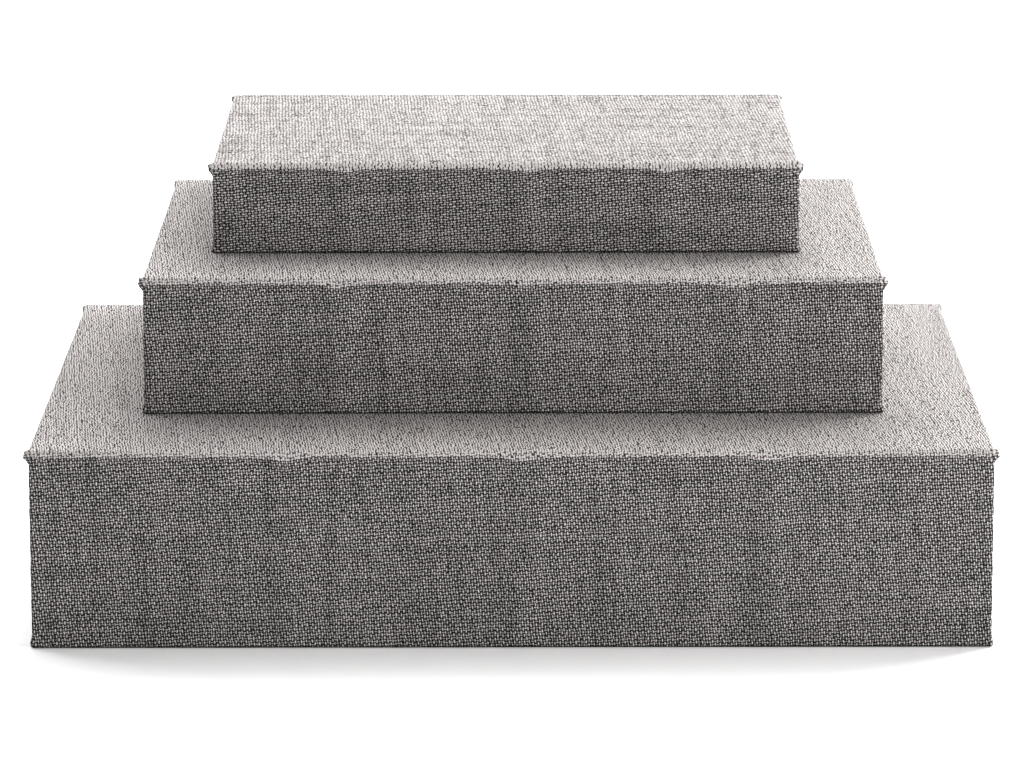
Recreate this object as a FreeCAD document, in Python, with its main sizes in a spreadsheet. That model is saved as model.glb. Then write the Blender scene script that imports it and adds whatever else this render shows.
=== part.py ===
"""Three drawer gift boxes of falling size, stacked with their backs in line.

Each box is a sleeve of board covered in linen, closed at its left end, and a lined drawer
that slides out of its right end. The long side towards the front is the sleeve's spine,
with three flat bands under the cloth. Lengths are in millimetres. +X is to the right, the
way the drawers open, -Y is towards the front and +Z is up. The origin is the middle of the
large box's footprint, on the surface that the stack stands on.
"""
import FreeCAD, Part
import Sketcher
import os

SHARED_SIZES = [
    ("sleeve_board", 2.5, "thickness of the sleeve's boards"),
    ("drawer_board", 2.0, "thickness of the drawer's boards"),
    ("linen", 0.6, "thickness of the linen"),
    ("lining_paper", 0.3, "thickness of the lining paper"),
    ("stay_tape", 0.2, "thickness of the paper tape on the drawer's corners"),
    ("stay_leg", 12.0, "length of each leg of a corner tape"),
    ("spine_setback", 0.8, "from the front of the top edge back to the face of the spine"),
    ("bottom_fold", 1.2, "radius of the fold along the bottom edges"),
    ("end_fold", 1.0, "radius of the upright corners of the sleeve"),
    ("board_edge_round", 0.5, "radius of the crushed edges of the top board"),
    ("top_nub", 1.6, "reach of the turned-in linen past the ends of a top edge"),
    ("bottom_nub", 0.8, "reach of the turned-in linen past the ends of a bottom edge"),
    ("nub_share", 0.9, "radius of a nub as a share of its edge's own radius"),
    ("roll_share", 0.92, "radius of the rolled top edge as a share of half its thickness"),
    ("mouth_turn_in", 12.0, "depth of the linen turned into the sleeve's mouths"),
    ("base_turn_in", 15.0, "width of the linen turned under the sleeve"),
    ("end_recess", 2.0, "from a mouth's rim in to the end face behind it"),
    ("band_width", 11.0, "width of a band on the spine"),
    ("band_thickness", 0.5, "thickness of a band on the spine"),
    ("side_play", 0.5, "gap between the drawer and the sleeve at each side"),
    ("seat_play", 0.3, "gap between the drawer and the sleeve's floor"),
    ("lid_play", 0.8, "gap between the drawer's rim and the sleeve's roof"),
    ("stop_play", 0.5, "gap between the closed drawer and the sleeve's end board"),
    ("rim_turn_in", 8.0, "depth of the linen turned over the drawer's rim"),
    ("floor_pad", 1.2, "thickness of the pad on the drawer's floor"),
    ("ribbon_width", 12.0, "width of the pull ribbon"),
    ("ribbon", 0.6, "thickness of the pull ribbon"),
    ("ribbon_play", 0.3, "gap around the ribbon in its slot"),
    ("overrun", 1.0, "how far a cut runs past the piece it cuts"),
]

BOX_SIZES = {
    "large": [
        ("width", 330.0, "length of the spine"),
        ("depth", 248.0, "from the front to the back"),
        ("height", 70.0, "height of the sleeve"),
        ("shift", 0.0, "how far the box stands to the right of the middle"),
        ("pull_height", 36.0, "from the drawer's bottom up to the ribbon's slot"),
        ("pull_drop", 22.0, "length of the ribbon that hangs on the drawer's face"),
        ("tail_drop", 14.0, "length of the ribbon glued inside the drawer"),
        ("left_band_share", 0.266, "place of a band along the spine"),
        ("middle_band_share", 0.509, "place of a band along the spine"),
        ("right_band_share", 0.765, "place of a band along the spine"),
    ],
    "medium": [
        ("width", 259.0, "length of the spine"),
        ("depth", 193.0, "from the front to the back"),
        ("height", 49.0, "height of the sleeve"),
        ("shift", 0.6, "how far the box stands to the right of the middle"),
        ("pull_height", 24.0, "from the drawer's bottom up to the ribbon's slot"),
        ("pull_drop", 15.0, "length of the ribbon that hangs on the drawer's face"),
        ("tail_drop", 10.0, "length of the ribbon glued inside the drawer"),
        ("left_band_share", 0.262, "place of a band along the spine"),
        ("middle_band_share", 0.520, "place of a band along the spine"),
        ("right_band_share", 0.795, "place of a band along the spine"),
    ],
    "small": [
        ("width", 209.0, "length of the spine"),
        ("depth", 150.0, "from the front to the back"),
        ("height", 33.0, "height of the sleeve"),
        ("shift", -1.9, "how far the box stands to the right of the middle"),
        ("pull_height", 13.0, "from the drawer's bottom up to the ribbon's slot"),
        ("pull_drop", 8.0, "length of the ribbon that hangs on the drawer's face"),
        ("tail_drop", 6.0, "length of the ribbon glued inside the drawer"),
        ("left_band_share", 0.224, "place of a band along the spine"),
        ("middle_band_share", 0.532, "place of a band along the spine"),
        ("right_band_share", 0.772, "place of a band along the spine"),
    ],
}

# Each box stands on the ones named before it here.
STACK = ["large", "medium", "small"]
BAND_NAMES = ["left_band", "middle_band", "right_band"]

doc = FreeCAD.newDocument("DrawerBoxes")
nodes = []


def write_sheet():
    """Put every driving size in the sheet, one row each: note, then the named number."""
    sheet = doc.addObject("Spreadsheet::Sheet", "Sizes")
    rows = list(SHARED_SIZES)
    for size, values in BOX_SIZES.items():
        rows += [(f"{size}_{name}", value, note) for name, value, note in values]
    for row, (name, value, note) in enumerate(rows, start=1):
        sheet.set(f"A{row}", note)
        sheet.set(f"B{row}", str(value))
        sheet.setAlias(f"B{row}", name)
    doc.recompute()


class Span:
    """A stretch along one axis, from a low to a high place, both written as expressions."""

    def __init__(self, low, high):
        self.low = low
        self.high = high

    def inset(self, size):
        """The stretch, made shorter at both ends by the size."""
        return Span(f"{self.low} + {size}", f"{self.high} - {size}")

    def grown(self, size):
        """The stretch, made longer at both ends by the size."""
        return Span(f"{self.low} - {size}", f"{self.high} + {size}")

    def length(self):
        return f"({self.high}) - ({self.low})"


def keep(piece, name):
    """Name a finished piece and list it as one of the object's sub-parts."""
    piece.Label = name
    nodes.append(piece)
    return piece


def place_at(piece, spans):
    for axis, span in zip("xyz", spans):
        piece.setExpression(f"Placement.Base.{axis}", span.low)


def block(name, *spans):
    """A plain block over three stretches, for thin sheets and for cutting."""
    piece = doc.addObject("Part::Box", name)
    for side, span in zip(("Length", "Width", "Height"), spans):
        piece.setExpression(side, span.length())
    place_at(piece, spans)
    return piece


def base_plane(body):
    """The body's own XY plane, which its first sketch lies on."""
    return next(plane for plane in body.Origin.OriginFeatures if plane.Role == "XY_Plane")


def rectangle_sketch(body, name, length, width):
    """A rectangle from the body's origin, with its two sizes bound to expressions."""
    sketch = body.newObject("Sketcher::SketchObject", name)
    sketch.AttachmentSupport = [(base_plane(body), "")]
    sketch.MapMode = "FlatFace"
    corners = [FreeCAD.Vector(x, y) for x, y in ((0, 0), (1, 0), (1, 1), (0, 1))]
    for first, second in zip(corners, corners[1:] + corners[:1]):
        sketch.addGeometry(Part.LineSegment(first, second), False)
    for line in range(len(corners)):
        following = (line + 1) % len(corners)
        sketch.addConstraint(Sketcher.Constraint("Coincident", line, 2, following, 1))
        sketch.addConstraint(Sketcher.Constraint("Vertical" if line % 2 else "Horizontal", line))
    sketch.addConstraint(Sketcher.Constraint("Coincident", 0, 1, -1, 1))
    for label, kind, line, size in (
        ("length", "DistanceX", 0, length),
        ("width", "DistanceY", 1, width),
    ):
        number = sketch.addConstraint(Sketcher.Constraint(kind, line, 1, line, 2, 1.0))
        sketch.renameConstraint(number, label)
        sketch.setExpression(f"Constraints.{label}", size)
    return sketch


def board(name, *spans):
    """A board cut square: its outline as a sketch, and a pad up from it."""
    across, deep, high = spans
    body = doc.addObject("PartDesign::Body", name)
    sketch = rectangle_sketch(body, f"{name}_outline", across.length(), deep.length())
    pad = body.newObject("PartDesign::Pad", f"{name}_pad")
    pad.Profile = sketch
    pad.setExpression("Length", high.length())
    sketch.Visibility = False
    place_at(body, spans)
    return body


def round_edges(body, name, radius, wanted):
    """Round the edges of a body that the wanted test picks."""
    doc.recompute()
    tip = body.Tip
    picked = [
        f"Edge{number}" for number, edge in enumerate(tip.Shape.Edges, start=1) if wanted(edge)
    ]
    fillet = body.newObject("PartDesign::Fillet", name)
    fillet.Base = (tip, picked)
    fillet.setExpression("Radius", radius)
    return fillet


def along(edge, axis):
    """Whether a straight edge runs along an axis."""
    start, end = (vertex.Point for vertex in edge.Vertexes)
    return (end - start).normalize().isEqual(axis, 1e-6) or (
        (start - end).normalize().isEqual(axis, 1e-6)
    )


def group(name, pieces):
    """Several pieces joined as one shape."""
    joined = doc.addObject("Part::MultiFuse", name)
    joined.Shapes = pieces
    return joined


def cut(name, whole, tools):
    """The whole with every tool taken out of it."""
    remainder = doc.addObject("Part::Cut", name)
    remainder.Base = whole
    remainder.Tool = group(f"{name}_tools", tools) if len(tools) > 1 else tools[0]
    return remainder


class BoxPlan:
    """The stretches that the pieces of one box share, worked out from the sheet."""

    def __init__(self, size):
        self.size = size
        width, depth, height, shift = (
            self.own(name) for name in ("width", "depth", "height", "shift")
        )
        below = STACK[: STACK.index(size)]
        floor = " + ".join(f"Sizes.{other}_height" for other in below) or "0"
        back = "Sizes.large_depth / 2"

        # Outside of the sleeve. The top edge stands forward of the spine's face.
        self.outer_x = Span(f"{shift} - {width} / 2", f"{shift} + {width} / 2")
        self.outer_y = Span(f"{back} - {depth}", back)
        self.outer_z = Span(floor, f"{floor} + {height}")
        self.spine_y = self.outer_y.inset("Sizes.spine_setback")

        # Boards of the sleeve, just under the linen.
        self.board_x = self.outer_x.inset("Sizes.linen")
        self.board_z = self.outer_z.inset("Sizes.linen")
        self.wall_y = self.spine_y.inset("Sizes.linen")
        self.hollow_y = self.wall_y.inset("Sizes.sleeve_board")
        self.hollow_z = self.board_z.inset("Sizes.sleeve_board")

        # The mouth, inside the linen that is turned in over the boards' ends.
        self.mouth_y = self.hollow_y.inset("Sizes.linen")
        self.mouth_z = self.hollow_z.inset("Sizes.linen")
        self.lined_x = self.outer_x.inset("Sizes.mouth_turn_in")

        # The end panel at the left, set back from the rim.
        panel_face = f"{self.outer_x.low} + Sizes.end_recess"
        panel_back = f"{panel_face} + Sizes.linen + Sizes.sleeve_board"
        self.panel_x = Span(panel_face, panel_back)

        # Outside of the closed drawer.
        self.drawer_x = Span(
            f"{panel_back} + Sizes.stop_play", f"{self.outer_x.high} - Sizes.end_recess"
        )
        self.drawer_y = self.mouth_y.inset("Sizes.side_play")
        self.drawer_z = Span(
            f"{self.mouth_z.low} + Sizes.seat_play", f"{self.mouth_z.high} - Sizes.lid_play"
        )

        # Boards of the drawer under its linen, and the room between them.
        self.tray_x = self.drawer_x.inset("Sizes.linen")
        self.tray_y = self.drawer_y.inset("Sizes.linen")
        self.tray_z = self.drawer_z.inset("Sizes.linen")
        self.room_x = self.tray_x.inset("Sizes.drawer_board")
        self.room_y = self.tray_y.inset("Sizes.drawer_board")
        self.room_floor = f"{self.tray_z.low} + Sizes.drawer_board"
        self.turned_edge = f"{self.drawer_z.high} - Sizes.rim_turn_in"
        self.wall_z = Span(self.room_floor, self.tray_z.high)
        self.lining_z = Span(self.room_floor, self.turned_edge)

    def own(self, name):
        """One of this box's sizes, as the sheet holds it."""
        return f"Sizes.{self.size}_{name}"

    def name(self, piece):
        return f"{self.size}_{piece}"

    def band_x(self, band):
        middle = f"{self.outer_x.low} + {self.own('width')} * {self.own(band + '_share')}"
        return Span(f"{middle} - Sizes.band_width / 2", f"{middle} + Sizes.band_width / 2")


def sleeve_boards(plan):
    """Roof, floor, spine and back of the sleeve, and the panel inside its left end."""
    along_x = FreeCAD.Vector(1, 0, 0)
    roof_z = Span(plan.hollow_z.high, plan.board_z.high)
    floor_z = Span(plan.board_z.low, plan.hollow_z.low)
    upright_z = Span(plan.board_z.low, plan.hollow_z.high)
    spine_y = Span(plan.wall_y.low, plan.hollow_y.low)
    back_y = Span(plan.hollow_y.high, plan.wall_y.high)
    edge_y = plan.outer_y.inset("Sizes.linen")

    roof = board(plan.name("sleeve_top_board"), plan.board_x, edge_y, roof_z)
    round_edges(
        roof,
        plan.name("sleeve_top_board_rounds"),
        "Sizes.board_edge_round",
        lambda edge: along(edge, along_x),
    )
    pieces = [
        roof,
        board(plan.name("sleeve_bottom_board"), plan.board_x, plan.hollow_y, floor_z),
        board(plan.name("sleeve_front_board"), plan.board_x, spine_y, upright_z),
        board(plan.name("sleeve_back_board"), plan.board_x, back_y, upright_z),
    ]
    panel = board(
        plan.name("sleeve_end_board"),
        Span(f"{plan.panel_x.low} + Sizes.linen", plan.panel_x.high),
        plan.mouth_y.inset("Sizes.linen"),
        plan.mouth_z.inset("Sizes.linen"),
    )
    for piece in pieces + [panel]:
        keep(piece, piece.Name)
    return pieces, panel


def spine_bands(plan):
    """Three flat strips on the front board that show as ridges through the linen."""
    band_y = Span(f"{plan.wall_y.low} - Sizes.band_thickness", plan.wall_y.low)
    band_z = Span(
        f"{plan.board_z.low} + Sizes.bottom_fold + Sizes.linen", plan.hollow_z.high
    )
    strips = [
        block(plan.name(f"{band}_strip"), plan.band_x(band), band_y, band_z)
        for band in BAND_NAMES
    ]
    return keep(group(plan.name("sleeve_spine_bands"), strips), plan.name("sleeve_spine_bands"))


def edge_nubs(plan, edge, across, height, radius, reach):
    """Rounded lumps of turned-in linen past the left and right ends of a long edge.

    Each ball has its poles along the edge, so the end plane cuts it in a plain circle.
    """
    nubs = []
    for side, middle in (
        ("left", f"{plan.outer_x.low} - {reach} + {radius}"),
        ("right", f"{plan.outer_x.high} + {reach} - {radius}"),
    ):
        nub = doc.addObject("Part::Sphere", plan.name(f"{edge}_{side}_nub"))
        nub.setExpression("Radius", radius)
        nub.Placement.Rotation = FreeCAD.Rotation(FreeCAD.Vector(0, 1, 0), 90)
        nub.setExpression("Placement.Base.x", middle)
        nub.setExpression("Placement.Base.y", across)
        nub.setExpression("Placement.Base.z", height)
        nubs.append(nub)
    return nubs


def sleeve_nubs(plan, roll):
    """The nubs at the ends of the sleeve's four long edges."""
    top = (f"{plan.outer_z.high} - {roll}", f"{roll} * Sizes.nub_share", "Sizes.top_nub")
    low = (
        f"{plan.outer_z.low} + Sizes.bottom_fold",
        "Sizes.bottom_fold * Sizes.nub_share",
        "Sizes.bottom_nub",
    )
    return (
        edge_nubs(plan, "front_top", f"{plan.outer_y.low} + {roll}", *top)
        + edge_nubs(plan, "back_top", f"{plan.outer_y.high} - {roll}", *top)
        + edge_nubs(plan, "front_bottom", f"{plan.spine_y.low} + Sizes.bottom_fold", *low)
        + edge_nubs(plan, "back_bottom", f"{plan.spine_y.high} - Sizes.bottom_fold", *low)
    )


def covered_top(plan, roll):
    """The linen-covered top board, with its long edges rolled nearly full round."""
    along_x = FreeCAD.Vector(1, 0, 0)
    slab_z = Span(f"{plan.outer_z.high} - 2 * {roll}", plan.outer_z.high)
    slab = board(plan.name("covered_top"), plan.outer_x, plan.outer_y, slab_z)
    round_edges(
        slab,
        plan.name("edge_rolls"),
        f"{roll} * Sizes.roll_share",
        lambda edge: along(edge, along_x),
    )
    return slab


def covered_body(plan, roll):
    """The linen-covered body under the top board, with its folds at corners and bottom."""
    upright = FreeCAD.Vector(0, 0, 1)
    along_x = FreeCAD.Vector(1, 0, 0)
    body_z = Span(plan.outer_z.low, f"{plan.outer_z.high} - {roll}")
    body = board(plan.name("covered_body"), plan.outer_x, plan.spine_y, body_z)
    round_edges(
        body, plan.name("corner_folds"), "Sizes.end_fold", lambda edge: along(edge, upright)
    )
    fold = doc.getObject("Sizes").bottom_fold
    round_edges(
        body,
        plan.name("bottom_folds"),
        "Sizes.bottom_fold",
        lambda edge: along(edge, along_x) and edge.CenterOfMass.z < fold,
    )
    return body


def band_ridges(plan, roll):
    """The linen where it stands proud over the spine's bands."""
    ridge_y = Span(f"{plan.spine_y.low} - Sizes.band_thickness", plan.wall_y.low)
    ridge_z = Span(
        f"{plan.board_z.low} + Sizes.bottom_fold", f"{plan.outer_z.high} - {roll}"
    )
    return [
        block(
            plan.name(f"{band}_ridge"), plan.band_x(band).grown("Sizes.linen"), ridge_y, ridge_z
        )
        for band in BAND_NAMES
    ]


def sleeve_envelope(plan):
    """The outside of the covered sleeve."""
    roll = "(Sizes.sleeve_board / 2 + Sizes.linen)"
    top = covered_top(plan, roll)
    body = covered_body(plan, roll)
    lumps = sleeve_nubs(plan, roll) + band_ridges(plan, roll)
    return group(plan.name("covered_sleeve"), [top, body] + lumps)


def sleeve_covers(plan, boards, panel, bands):
    """Linen over the sleeve and over its end panel, base card and inner lining."""
    base_card = block(
        plan.name("sleeve_base_card"),
        plan.outer_x.inset("Sizes.base_turn_in"),
        plan.spine_y.inset("Sizes.base_turn_in"),
        Span(plan.outer_z.low, plan.board_z.low),
    )
    keep(base_card, base_card.Name)

    tunnel = block(
        plan.name("tunnel"), plan.outer_x.grown("Sizes.overrun"), plan.mouth_y, plan.mouth_z
    )
    hollow = block(plan.name("hollow"), plan.lined_x, plan.hollow_y, plan.hollow_z)
    linen = cut(
        plan.name("sleeve_linen"),
        sleeve_envelope(plan),
        boards + [bands, base_card, tunnel, hollow],
    )
    keep(linen, linen.Name)

    panel_linen = cut(
        plan.name("sleeve_end_linen"),
        block(plan.name("panel_block"), plan.panel_x, plan.mouth_y, plan.mouth_z),
        [panel],
    )
    keep(panel_linen, panel_linen.Name)

    lining = cut(
        plan.name("sleeve_lining"),
        block(plan.name("lining_block"), plan.lined_x, plan.hollow_y, plan.hollow_z),
        [
            block(
                plan.name("lining_bore"),
                plan.lined_x.grown("Sizes.overrun"),
                plan.hollow_y.inset("Sizes.lining_paper"),
                plan.hollow_z.inset("Sizes.lining_paper"),
            )
        ],
    )
    keep(lining, lining.Name)


def drawer_boards(plan, slot):
    """Base board and four walls of the drawer, with the ribbon's slot in the pull end."""
    base_z = Span(plan.tray_z.low, plan.room_floor)
    base = board(plan.name("drawer_base_board"), plan.tray_x, plan.tray_y, base_z)
    pull_block = board(
        plan.name("pull_end_blank"),
        Span(plan.room_x.high, plan.tray_x.high),
        plan.tray_y,
        plan.wall_z,
    )
    pull_end = cut(plan.name("drawer_pull_end_wall"), pull_block, [slot])
    inner_end = board(
        plan.name("drawer_inner_end_wall"),
        Span(plan.tray_x.low, plan.room_x.low),
        plan.tray_y,
        plan.wall_z,
    )
    front_side = board(
        plan.name("drawer_front_side_wall"),
        plan.room_x,
        Span(plan.tray_y.low, plan.room_y.low),
        plan.wall_z,
    )
    back_side = board(
        plan.name("drawer_back_side_wall"),
        plan.room_x,
        Span(plan.room_y.high, plan.tray_y.high),
        plan.wall_z,
    )
    pieces = [base, pull_end, inner_end, front_side, back_side]
    for piece in pieces:
        keep(piece, piece.Name)
    return pieces


def ribbon_heights(plan):
    """The stretch of height that the ribbon takes up where it goes through the wall."""
    middle = f"{plan.drawer_z.low} + {plan.own('pull_height')}"
    return Span(middle, f"{middle} + Sizes.ribbon")


def ribbon_widths(plan):
    middle = f"({plan.drawer_y.low} + {plan.drawer_y.high}) / 2"
    return Span(f"{middle} - Sizes.ribbon_width / 2", f"{middle} + Sizes.ribbon_width / 2")


def ribbon_slot(plan):
    """The cutter for the ribbon's slot through the linen, the wall and the lining."""
    return block(
        plan.name("ribbon_slot"),
        Span(
            f"{plan.room_x.high} - Sizes.lining_paper - Sizes.overrun",
            f"{plan.drawer_x.high} + Sizes.overrun",
        ),
        ribbon_widths(plan).grown("Sizes.ribbon_play"),
        ribbon_heights(plan).grown("Sizes.ribbon_play"),
    )


def pull_ribbon(plan):
    """A ribbon folded double on the drawer's face, led through the wall and glued inside."""
    across = ribbon_widths(plan)
    lead = ribbon_heights(plan)
    inner_face = f"{plan.room_x.high} - Sizes.lining_paper"
    face = plan.drawer_x.high
    lead_through = block(
        plan.name("ribbon_lead"),
        Span(f"{inner_face} - Sizes.ribbon", f"{face} + 2 * Sizes.ribbon"),
        across,
        lead,
    )
    tail = block(
        plan.name("ribbon_tail"),
        Span(f"{inner_face} - Sizes.ribbon", inner_face),
        across,
        Span(f"{lead.low} - {plan.own('tail_drop')}", lead.high),
    )
    tab_foot = f"{lead.low} - {plan.own('pull_drop')} + Sizes.ribbon"
    tab = block(
        plan.name("ribbon_tab"),
        Span(face, f"{face} + 2 * Sizes.ribbon"),
        across,
        Span(tab_foot, lead.high),
    )
    fold = doc.addObject("Part::Cylinder", plan.name("ribbon_fold"))
    fold.setExpression("Radius", "Sizes.ribbon")
    fold.setExpression("Height", "Sizes.ribbon_width")
    fold.Placement.Rotation = FreeCAD.Rotation(FreeCAD.Vector(1, 0, 0), -90)
    fold.setExpression("Placement.Base.x", f"{face} + Sizes.ribbon")
    fold.setExpression("Placement.Base.y", across.low)
    fold.setExpression("Placement.Base.z", tab_foot)
    ribbon = group(plan.name("drawer_pull_ribbon"), [lead_through, tail, tab, fold])
    return keep(ribbon, ribbon.Name)


def corner_stays(plan):
    """Paper tapes that hold the drawer's four upright corners, under the linen."""
    whole_z = Span(plan.tray_z.low, plan.tray_z.high)
    tape_x = plan.tray_x.grown("Sizes.stay_tape")
    tape_y = plan.tray_y.grown("Sizes.stay_tape")
    ends = {
        "inner": (
            Span(tape_x.low, plan.tray_x.low),
            Span(tape_x.low, f"{tape_x.low} + Sizes.stay_leg"),
        ),
        "pull": (
            Span(plan.tray_x.high, tape_x.high),
            Span(f"{tape_x.high} - Sizes.stay_leg", tape_x.high),
        ),
    }
    sides = {
        "front": (
            Span(tape_y.low, plan.tray_y.low),
            Span(tape_y.low, f"{tape_y.low} + Sizes.stay_leg"),
        ),
        "back": (
            Span(plan.tray_y.high, tape_y.high),
            Span(f"{tape_y.high} - Sizes.stay_leg", tape_y.high),
        ),
    }
    tapes = []
    for end, (end_skin, end_leg) in ends.items():
        for side, (side_skin, side_leg) in sides.items():
            name = plan.name(f"{end}_{side}_stay")
            tapes.append(block(f"{name}_end_leg", end_skin, side_leg, whole_z))
            tapes.append(block(f"{name}_side_leg", end_leg, side_skin, whole_z))
    stays = group(plan.name("drawer_corner_stays"), tapes)
    return keep(stays, stays.Name)


def drawer_covers(plan, boards, slot, stays):
    """Linen over the drawer and its rim, wall lining and floor pad."""
    low_room = block(plan.name("low_room"), plan.room_x, plan.room_y, plan.lining_z)
    high_room = block(
        plan.name("high_room"),
        plan.room_x.inset("Sizes.linen"),
        plan.room_y.inset("Sizes.linen"),
        Span(plan.room_floor, f"{plan.drawer_z.high} + Sizes.overrun"),
    )
    linen = cut(
        plan.name("drawer_linen"),
        block(plan.name("drawer_block"), plan.drawer_x, plan.drawer_y, plan.drawer_z),
        boards + [stays, low_room, high_room, slot],
    )
    keep(linen, linen.Name)

    lining = cut(
        plan.name("drawer_lining"),
        block(plan.name("wall_lining_block"), plan.room_x, plan.room_y, plan.lining_z),
        [
            block(
                plan.name("wall_lining_bore"),
                plan.room_x.inset("Sizes.lining_paper"),
                plan.room_y.inset("Sizes.lining_paper"),
                plan.lining_z.grown("Sizes.overrun"),
            ),
            slot,
        ],
    )
    keep(lining, lining.Name)

    pad = block(
        plan.name("drawer_floor_pad"),
        plan.room_x.inset("Sizes.lining_paper"),
        plan.room_y.inset("Sizes.lining_paper"),
        Span(plan.room_floor, f"{plan.room_floor} + Sizes.floor_pad"),
    )
    keep(pad, pad.Name)


def build_box(size):
    """All the pieces of one box: the sleeve and its covers, then the drawer and its covers."""
    plan = BoxPlan(size)
    boards, panel = sleeve_boards(plan)
    bands = spine_bands(plan)
    sleeve_covers(plan, boards, panel, bands)
    slot = ribbon_slot(plan)
    tray = drawer_boards(plan, slot)
    stays = corner_stays(plan)
    drawer_covers(plan, tray, slot, stays)
    pull_ribbon(plan)


def check_model():
    """Stop if any object failed or any sub-part has no sound shape."""
    failed = [
        item.Name for item in doc.Objects if "Invalid" in item.State or "Error" in item.State
    ]
    unsound = [
        piece.Label for piece in nodes if piece.Shape.isNull() or not piece.Shape.isValid()
    ]
    if failed or unsound:
        raise RuntimeError(f"failed: {failed}; unsound: {unsound}")


def write_parts():
    """Write each sub-part to its own file and print its solids and volume."""
    os.makedirs("parts", exist_ok=True)
    for piece in nodes:
        piece.Shape.exportStep(f"parts/{piece.Label}.step")
        print(f"{piece.Label}: {len(piece.Shape.Solids)} solids, {piece.Shape.Volume:.0f} mm3")


write_sheet()
for box_size in STACK:
    build_box(box_size)
doc.recompute()
check_model()
write_parts()
print(f"{len(nodes)} sub-parts")
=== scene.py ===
"""Looks for three linen-covered drawer boxes, stacked with their backs in line.

The cloth on each sleeve and drawer is a thin wrapped sheet with rolled edges, turned-in
ends and ridges over the spine's bands. Lengths are in millimetres until a mesh is made.
"""

import math

import bpy
import numpy as np
from mathutils import Matrix, Vector


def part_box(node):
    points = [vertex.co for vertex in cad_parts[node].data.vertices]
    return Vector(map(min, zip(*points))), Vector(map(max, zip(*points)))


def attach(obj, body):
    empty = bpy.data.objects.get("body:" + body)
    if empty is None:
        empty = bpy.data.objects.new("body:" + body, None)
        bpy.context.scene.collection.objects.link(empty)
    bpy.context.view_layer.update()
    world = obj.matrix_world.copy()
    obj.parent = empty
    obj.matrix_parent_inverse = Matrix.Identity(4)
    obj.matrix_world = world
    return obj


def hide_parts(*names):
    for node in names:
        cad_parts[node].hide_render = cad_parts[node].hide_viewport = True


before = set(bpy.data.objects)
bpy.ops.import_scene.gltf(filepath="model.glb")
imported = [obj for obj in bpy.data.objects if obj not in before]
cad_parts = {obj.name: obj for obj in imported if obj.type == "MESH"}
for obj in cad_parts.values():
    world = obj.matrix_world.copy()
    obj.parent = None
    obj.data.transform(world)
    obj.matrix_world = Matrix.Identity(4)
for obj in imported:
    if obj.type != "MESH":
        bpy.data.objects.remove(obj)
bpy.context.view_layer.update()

SIZES = ("large", "medium", "small")

# The room that linen or ribbon takes up, and the thickness that both are drawn with.
LINEN = 0.6
CLOTH = 0.55

# The rolled edge's radius, and how far the face stands back under it.
BEAD = 1.85
SETBACK = 0.8

# Radii of the folds: along the sleeve's bottom, at its ends and in its mouth, over the
# drawer's rim and along its bottom, and round the end panel. Then how far the linen comes
# down inside the rim.
BOTTOM_FOLD = 1.2
END_FOLD = 1.0
MOUTH_FOLD = 0.8
RIM_FOLD = 0.9
DRAWER_FOLD = 0.8
PANEL_FOLD = 0.7
RIM_HEM = 8.0

# The room round the ribbon in its slot, its bends, and how far it hangs inside the wall.
SLOT_ROOM = 0.3
RIBBON_BEND = 0.45
RIBBON_TAIL = {"large": 14.0, "medium": 10.0, "small": 6.0}

# Where the spine's bands lie, as shares of its length. Each raises a ridge that climbs from
# its left, stays level over the crest and falls to the right.
BANDS = {
    "large": (0.266, 0.509, 0.765),
    "medium": (0.262, 0.520, 0.795),
    "small": (0.224, 0.532, 0.772),
}
BAND_RISE = 8.0
BAND_CREST = 1.0
BAND_FALL = {"large": 10.0, "medium": 7.0, "small": 6.0}
BAND_PROUD = 0.95

# How far the rolled edge dips at each band, and how far along.
DIPS = {
    "large": (0.9, 0.8, 0.9),
    "medium": (0.65, 0.65, 0.8),
    "small": (0.55, 0.55, 0.7),
}
DIP_REACH = 7.0

# How far the nubs of turned-in linen stand out at the ends of the long edges, and their radii.
TOP_NUB = 1.7
BACK_NUB = 1.0
BOTTOM_NUB = 0.8
TOP_NUB_RADIUS = 2.05
BOTTOM_NUB_RADIUS = 1.45

# Seeds of each box's unevenness, and its wavelengths and heights.
SEEDS = {"large": 11, "medium": 23, "small": 37}
FACE_WAVE = 34
FACE_SWELL = 0.07
FACE_UNEVEN = 0.05
ROLL_WAVE = 5.0
ROLL_UNEVEN = 0.07
NUB_WAVE = 2.6
NUB_UNEVEN = 0.12
MOUTH_WAVE = 3.2
MOUTH_UNEVEN = 0.06
DRAWER_WAVE = 28
PANEL_WAVE = 26
PLAIN_UNEVEN = 0.05

# How much of the upright painted shade is taken off along the rolled edge, so that the edge is
# painted lighter.
ROLL_SHADE_CUT = 0.42


def box_mm(node):
    """A node's lowest and highest corners in millimetres."""
    low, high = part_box(node)
    return np.array(low) * 1000, np.array(high) * 1000


def soft_step(value, low, high):
    """0 below low, 1 above high, and a soft change in between."""
    share = np.clip((value - low) / (high - low), 0, 1)
    return share * share * (3 - 2 * share)


class Ripple:
    """A gentle, repeatable unevenness over a surface: a sum of seeded waves."""

    def __init__(self, seed, wavelength, count=9):
        chance = np.random.default_rng(seed)
        lengths = wavelength * chance.uniform(0.6, 1.7, count)
        turns = chance.uniform(0, 2 * math.pi, count)
        directions = np.stack([np.cos(turns), np.sin(turns)], 1)
        self.waves = directions * (2 * math.pi / lengths)[:, None]
        self.phases = chance.uniform(0, 2 * math.pi, count)
        self.scale = math.sqrt(2 / count)

    def __call__(self, first, second):
        turns = first[..., None] * self.waves[:, 0] + second[..., None] * self.waves[:, 1]
        return np.sin(turns + self.phases).sum(-1) * self.scale


def spread(start, end, step, lines=()):
    """Places from start to end about a step apart, with the given lines among them."""
    stops = [start, *lines, end]
    places = [np.array([start])]
    for first, last in zip(stops, stops[1:]):
        count = max(1, round(abs(last - first) / step))
        places.append(np.linspace(first, last, count + 1)[1:])
    return np.concatenate(places)


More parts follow.
